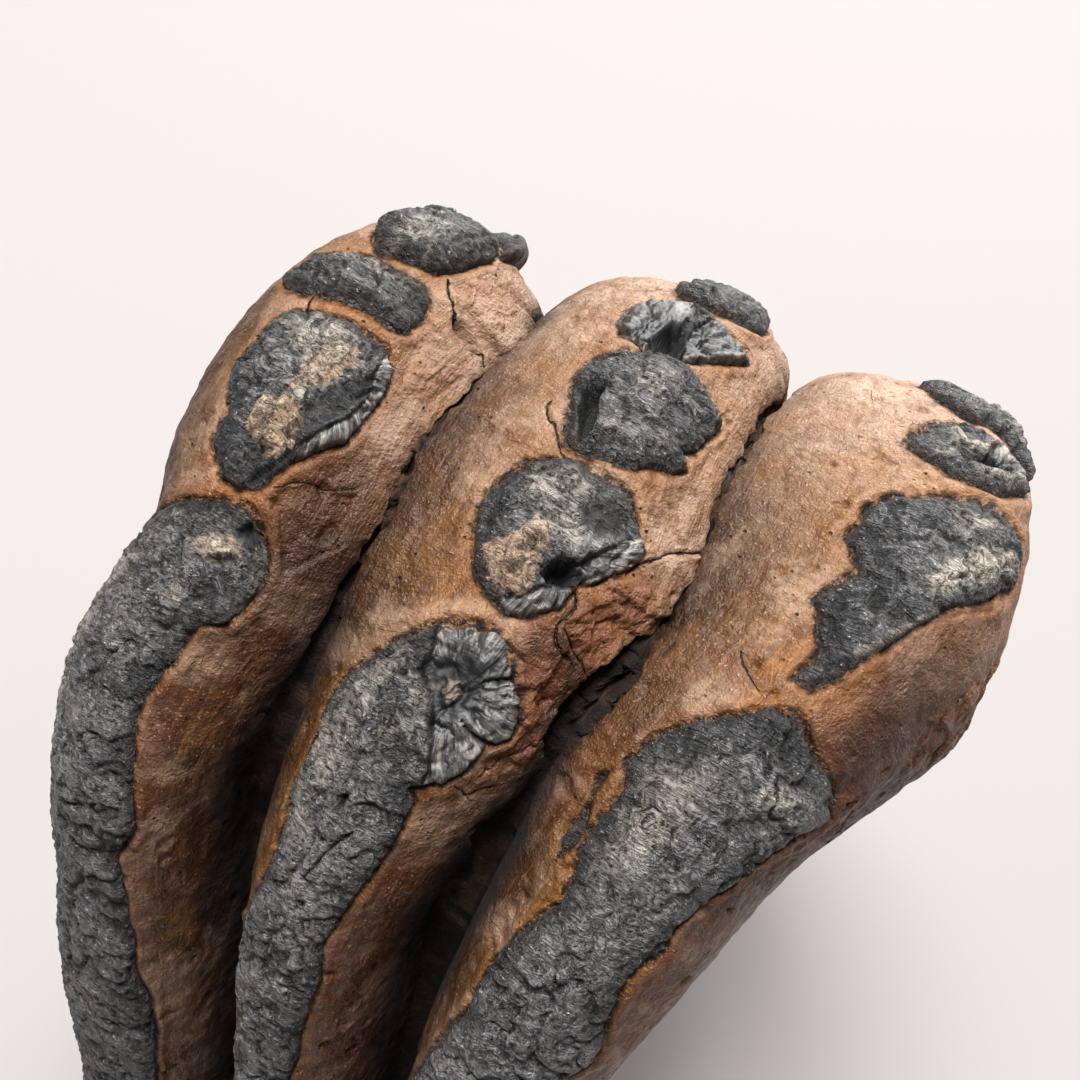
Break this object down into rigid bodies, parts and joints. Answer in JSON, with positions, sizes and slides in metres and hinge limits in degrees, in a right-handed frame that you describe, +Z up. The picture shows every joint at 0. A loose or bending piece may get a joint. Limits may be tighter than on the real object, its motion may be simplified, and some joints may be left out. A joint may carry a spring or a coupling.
{
  "type": "fossil mammoth molar",
  "caption": "Fossil mammoth molar fragment: fused tooth plates with dark enamel finger tips and front ridges standing out of brown cement, cut off flat below.",
  "frame": {"origin": "on the flat underside, under the middle plate, halfway between front and back", "axes": "+X across the plates, +Y from the ridged front to the back, +Z up to the finger tips"},
  "size_m": [0.0393, 0.054, 0.0668],
  "materials": {
    "fossil_tooth": "semi-matt brown cement with dark grey fibrous enamel, glassy where it is broken"
  },
  "bodies": {
    "root": {"molar": "fossil_tooth"}
  },
  "joints": []
}
